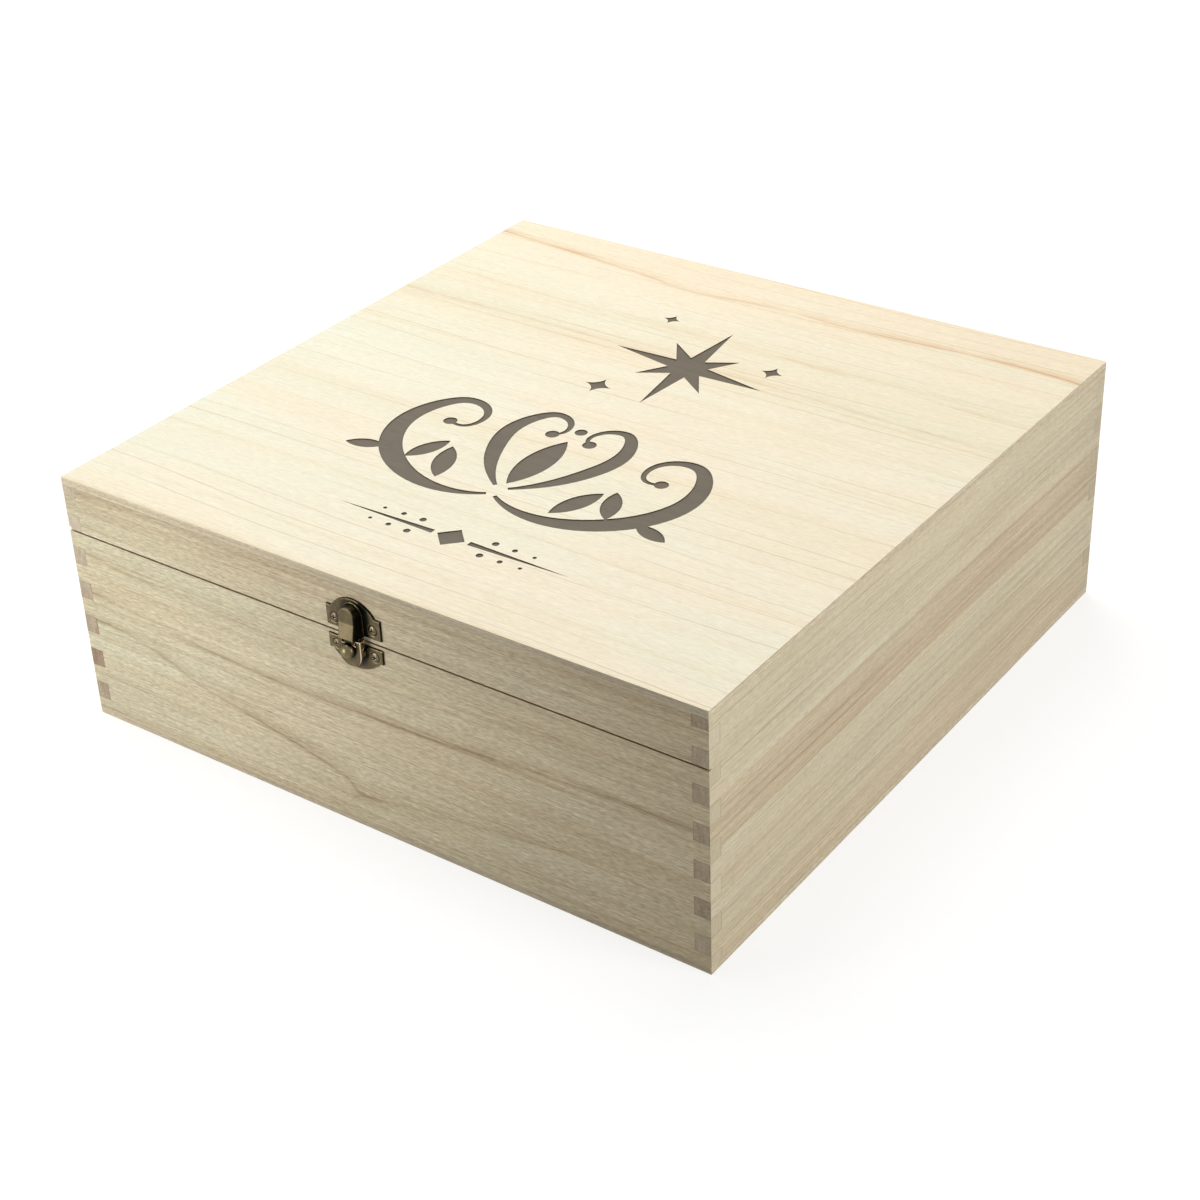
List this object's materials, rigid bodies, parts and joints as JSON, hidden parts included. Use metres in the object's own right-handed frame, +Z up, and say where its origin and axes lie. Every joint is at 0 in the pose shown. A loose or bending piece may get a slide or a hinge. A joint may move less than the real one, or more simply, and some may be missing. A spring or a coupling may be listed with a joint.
{
  "type": "keepsake box",
  "caption": "Square wooden keepsake box with finger-jointed corners, a hinged lid with an engraved top and a small sprung hasp latch.",
  "frame": {"origin": "centre of the underside, on the plane the box stands on", "axes": "+Z up, the front with the latch faces -Y, the hinges are on the +Y side, +X to the right seen from the front"},
  "size_m": [0.3, 0.3117, 0.1108],
  "materials": {
    "paulownia_boards": "fine-sanded bare solid paulownia",
    "paulownia_plywood": "bare three-ply panel with paulownia faces",
    "antiqued_brass_latch": "polished antique finish, darker in the hollows",
    "antiqued_brass_hinges": "satin antique finish",
    "antiqued_screws": "antique brass plated",
    "spring_steel": "bright drawn wire"
  },
  "bodies": {
    "box_base": {"bottom_panel": "paulownia_plywood", "base_front_wall": "paulownia_boards", "base_back_wall": "paulownia_boards", "base_left_wall": "paulownia_boards", "base_right_wall": "paulownia_boards", "left_hinge_base_leaf": "antiqued_brass_hinges", "right_hinge_base_leaf": "antiqued_brass_hinges", "left_hinge_pin": "antiqued_brass_hinges", "right_hinge_pin": "antiqued_brass_hinges", "hinge_base_screws": "antiqued_screws", "catch_plate": "antiqued_brass_latch", "catch_screws": "antiqued_screws", "catch_pin": "antiqued_brass_latch", "catch_spring": "spring_steel"},
    "lid": {"lid_front_rail": "paulownia_boards", "lid_back_rail": "paulownia_boards", "lid_left_rail": "paulownia_boards", "lid_right_rail": "paulownia_boards", "top_panel": "paulownia_plywood", "left_hinge_lid_leaf": "antiqued_brass_hinges", "right_hinge_lid_leaf": "antiqued_brass_hinges", "hinge_lid_screws": "antiqued_screws", "strike_plate": "antiqued_brass_latch", "strike_screws": "antiqued_screws"},
    "catch_lever": {"catch_lever": "antiqued_brass_latch", "catch_knob": "antiqued_brass_latch"}
  },
  "joints": [
    {"name": "lid_hinge", "type": "hinge", "parent": "box_base", "child": "lid", "pos_m": [0, 0.15215, 0.0872], "axis": [-1, 0, 0], "range_deg": [0, 180]},
    {"name": "catch_pivot", "type": "hinge", "parent": "box_base", "child": "catch_lever", "pos_m": [-0.0017, -0.15225, 0.085], "axis": [-1, 0, 0], "range_deg": [0, 8], "stiffness_Nm_per_rad": 0.006, "springref_deg": -20.05}
  ]
}
